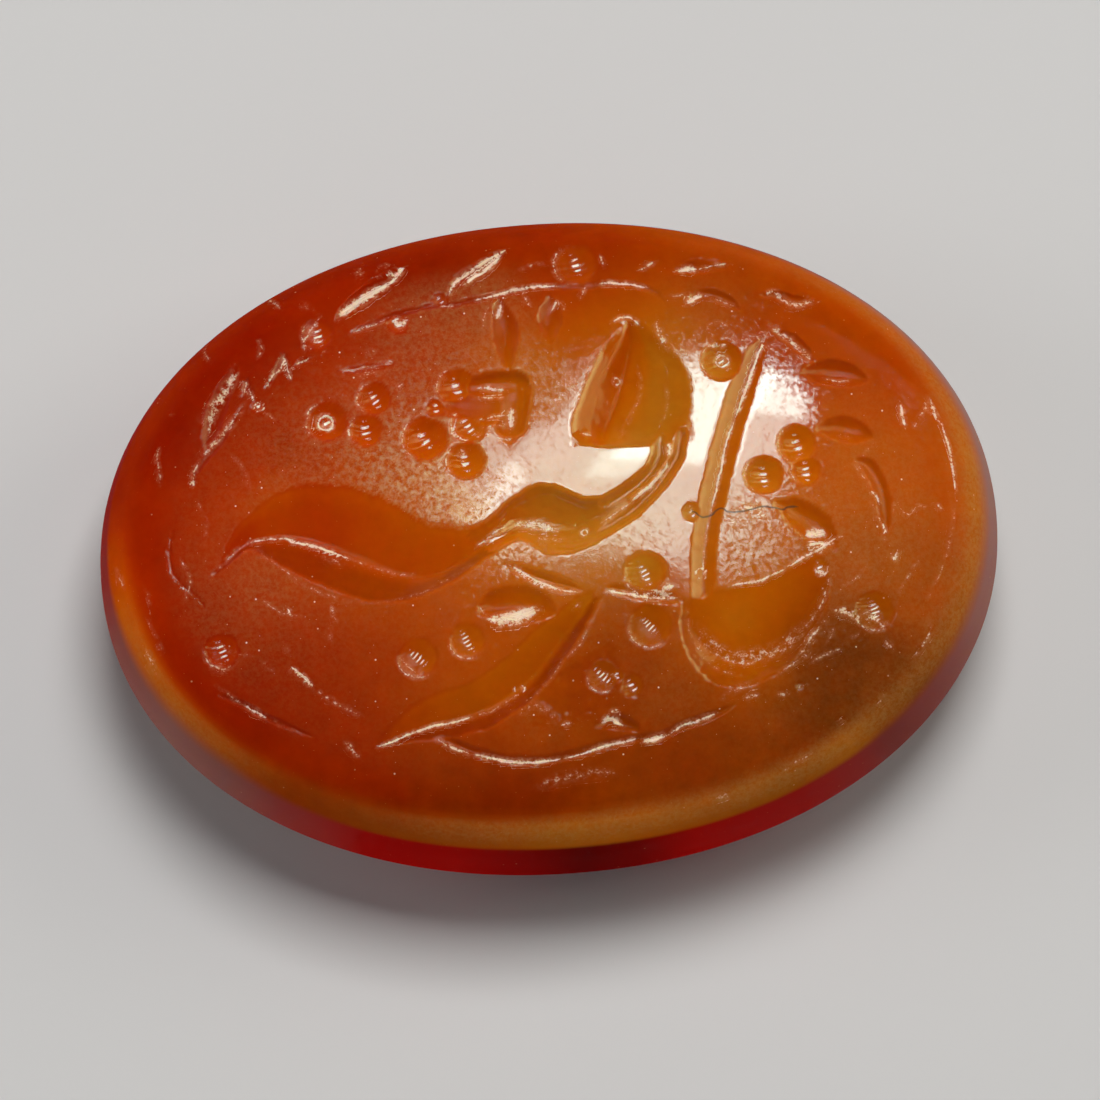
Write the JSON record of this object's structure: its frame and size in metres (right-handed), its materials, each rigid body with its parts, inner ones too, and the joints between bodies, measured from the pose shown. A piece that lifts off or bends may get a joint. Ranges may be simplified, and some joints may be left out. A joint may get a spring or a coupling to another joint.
{
  "type": "intaglio gem",
  "caption": "Oval carnelian ringstone: a domed, polished face with a plant and vessel figure cut in intaglio, a bevelled side and a flat back that seats in a ring.",
  "frame": {"origin": "centre of the flat back", "axes": "+Z out of the engraved face, +X along the stone's length, +Y towards the top of the figure as the picture shows it"},
  "size_m": [0.02, 0.0146, 0.0062],
  "materials": {
    "carnelian": "polished"
  },
  "bodies": {
    "root": {"gem": "carnelian"}
  },
  "joints": []
}
